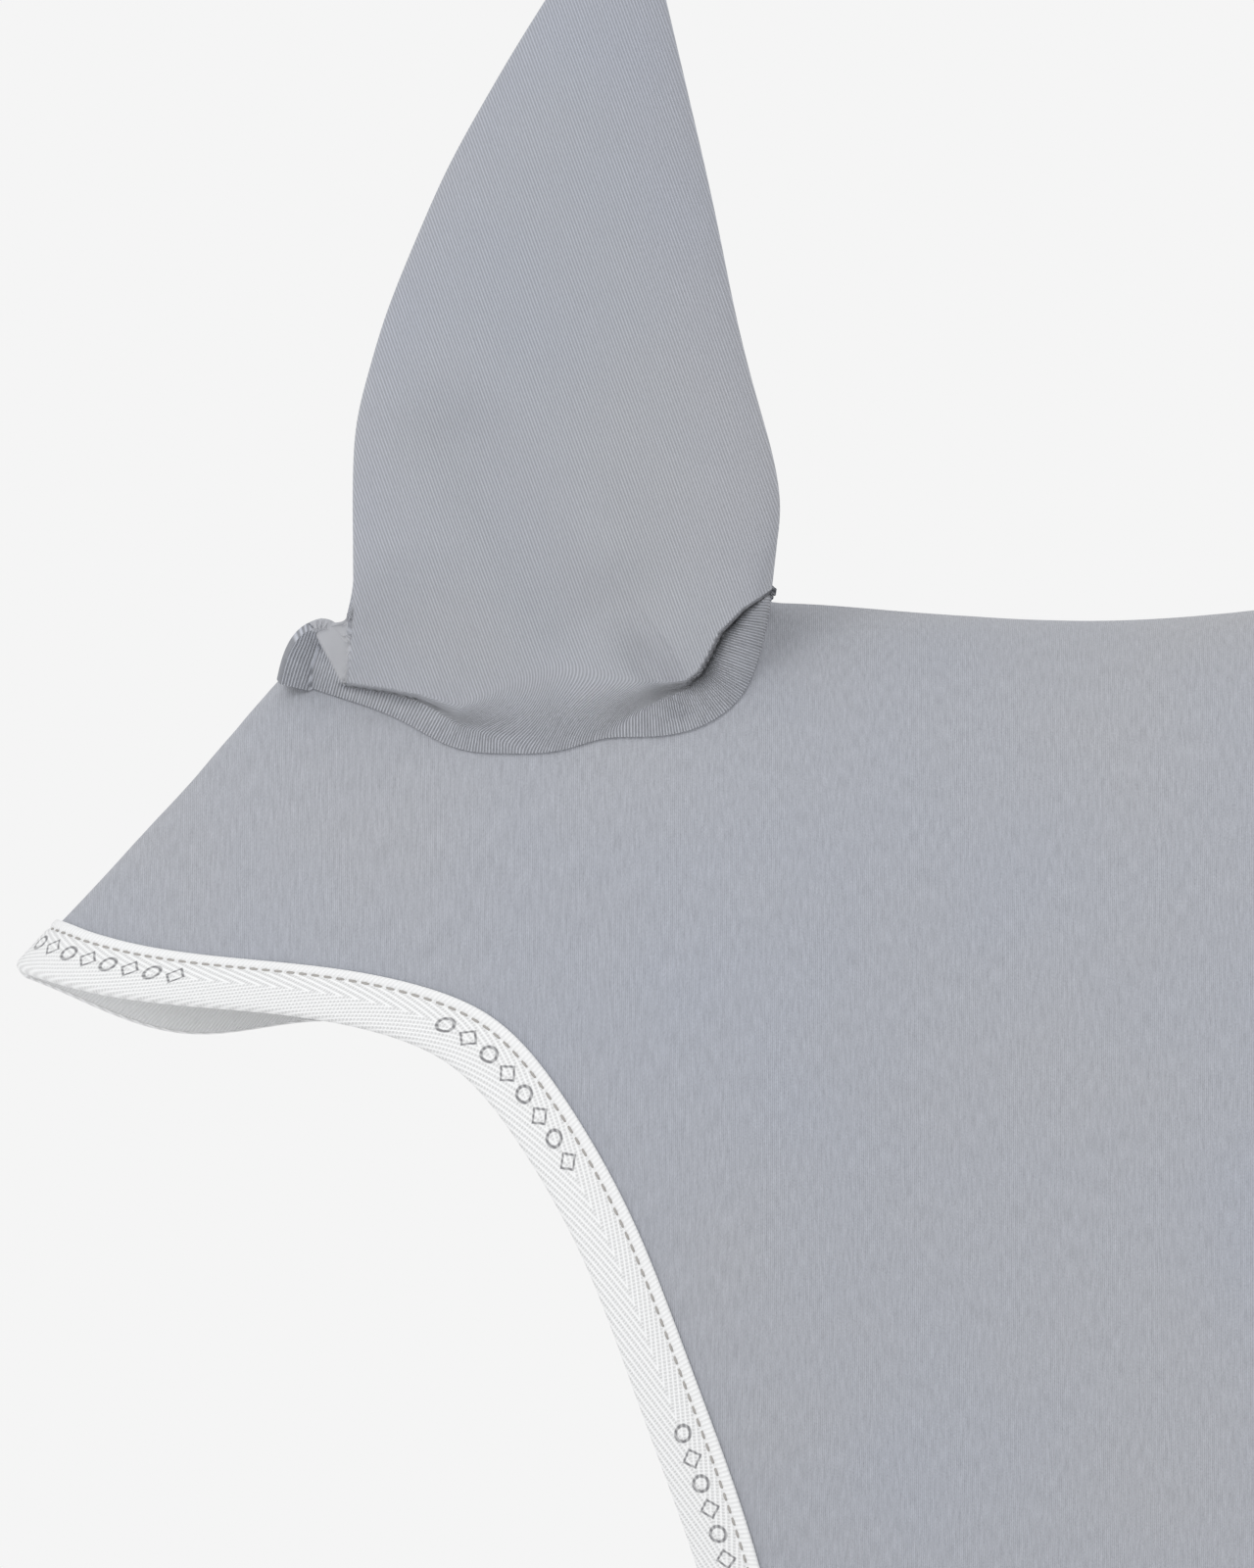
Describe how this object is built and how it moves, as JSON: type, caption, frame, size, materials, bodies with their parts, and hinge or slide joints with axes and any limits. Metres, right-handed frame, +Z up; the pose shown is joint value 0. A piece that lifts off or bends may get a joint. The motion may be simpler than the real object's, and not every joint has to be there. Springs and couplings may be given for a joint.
{
  "type": "horse fly sheet",
  "caption": "Full-neck stretch fly sheet with an integral hood, ear covers, bound face opening, front zip, two belly straps and a tail flap.",
  "frame": {"origin": "the poll, where the hood rests on the horse between the ears, on the middle plane", "axes": "+X towards the tail, +Y towards the off (right) side, +Z up"},
  "size_m": [2.6302, 0.6242, 1.2657],
  "materials": {
    "stretch_cloth": "matte fine rib knit, cool grey",
    "binding_tape": "white herringbone twill tape",
    "webbing": "grey polyester webbing",
    "zip_tape": "woven grey zip tape",
    "zip_teeth": "moulded grey teeth",
    "zip_metal": "satin die-cast zinc",
    "buckle_steel": "pressed stainless steel",
    "fleece": "off-white fleece"
  },
  "bodies": {
    "root": {"left_neck_panel": "stretch_cloth", "right_neck_panel": "stretch_cloth", "left_body_panel": "stretch_cloth", "right_body_panel": "stretch_cloth", "crest_seam_tape": "binding_tape", "withers_pad": "fleece", "face_binding": "binding_tape", "left_hem_binding": "binding_tape", "right_hem_binding": "binding_tape", "back_binding": "binding_tape", "left_ear_collar": "stretch_cloth", "right_ear_collar": "stretch_cloth", "left_zip_tape": "zip_tape", "right_zip_tape": "zip_tape", "left_zip_teeth": "zip_teeth", "right_zip_teeth": "zip_teeth", "left_zip_top_stop": "zip_metal", "right_zip_top_stop": "zip_metal", "zip_bottom_stop": "zip_metal", "zip_guard": "stretch_cloth", "left_front_belly_strap": "webbing", "right_front_belly_strap": "webbing", "left_rear_belly_strap": "webbing", "right_rear_belly_strap": "webbing", "front_strap_eye": "buckle_steel", "rear_strap_eye": "buckle_steel"},
    "left_ear": {"left_ear_outer_panel": "stretch_cloth", "left_ear_inner_panel": "stretch_cloth"},
    "right_ear": {"right_ear_outer_panel": "stretch_cloth", "right_ear_inner_panel": "stretch_cloth"},
    "zip_slider": {"zip_slider": "zip_metal"},
    "zip_pull": {"zip_pull": "zip_metal"},
    "front_strap_hook": {"front_strap_hook": "buckle_steel"},
    "rear_strap_hook": {"rear_strap_hook": "buckle_steel"},
    "left_front_strap_slide": {"left_front_strap_slide": "buckle_steel"},
    "right_front_strap_slide": {"right_front_strap_slide": "buckle_steel"},
    "left_rear_strap_slide": {"left_rear_strap_slide": "buckle_steel"},
    "right_rear_strap_slide": {"right_rear_strap_slide": "buckle_steel"},
    "tail_flap": {"tail_flap": "stretch_cloth"}
  },
  "joints": [
    {"name": "left_ear_swivel", "type": "hinge", "parent": "root", "child": "left_ear", "pos_m": [-0.0063, -0.05, 0.005], "axis": [0, 0, 1], "range_deg": [-30, 30]},
    {"name": "right_ear_swivel", "type": "hinge", "parent": "root", "child": "right_ear", "pos_m": [-0.0063, 0.05, 0.005], "axis": [0, 0, -1], "range_deg": [-30, 30]},
    {"name": "zip_run", "type": "slide", "parent": "root", "child": "zip_slider", "axis": [0.8615, 0, -0.5077], "range_m": [0, 0.57]},
    {"name": "zip_pull_swing", "type": "hinge", "parent": "zip_slider", "child": "zip_pull", "pos_m": [0.1017, 0, -0.33865], "axis": [0, 1, 0], "range_deg": [-55, 115]},
    {"name": "front_hook_lift", "type": "hinge", "parent": "root", "child": "front_strap_hook", "pos_m": [1.3398, 0.03, -1.0824], "axis": [-1, 0, 0], "range_deg": [0, 75]},
    {"name": "rear_hook_lift", "type": "hinge", "parent": "root", "child": "rear_strap_hook", "pos_m": [1.8117, 0.03, -1.0824], "axis": [-1, 0, 0], "range_deg": [0, 75]},
    {"name": "tail_flap_lift", "type": "hinge", "parent": "root", "child": "tail_flap", "pos_m": [2.3418, 0, -0.3118], "axis": [0, -1, 0], "range_deg": [0, 75]},
    {"name": "left_front_slide_travel", "type": "slide", "parent": "root", "child": "left_front_strap_slide", "axis": [0, -1, 0], "range_m": [-0.02, 0.025]},
    {"name": "left_rear_slide_travel", "type": "slide", "parent": "root", "child": "left_rear_strap_slide", "axis": [0, -1, 0], "range_m": [-0.02, 0.025]},
    {"name": "right_front_slide_travel", "type": "slide", "parent": "root", "child": "right_front_strap_slide", "axis": [0, 1, 0], "range_m": [-0.02, 0.025]},
    {"name": "right_rear_slide_travel", "type": "slide", "parent": "root", "child": "right_rear_strap_slide", "axis": [0, 1, 0], "range_m": [-0.02, 0.025]}
  ]
}
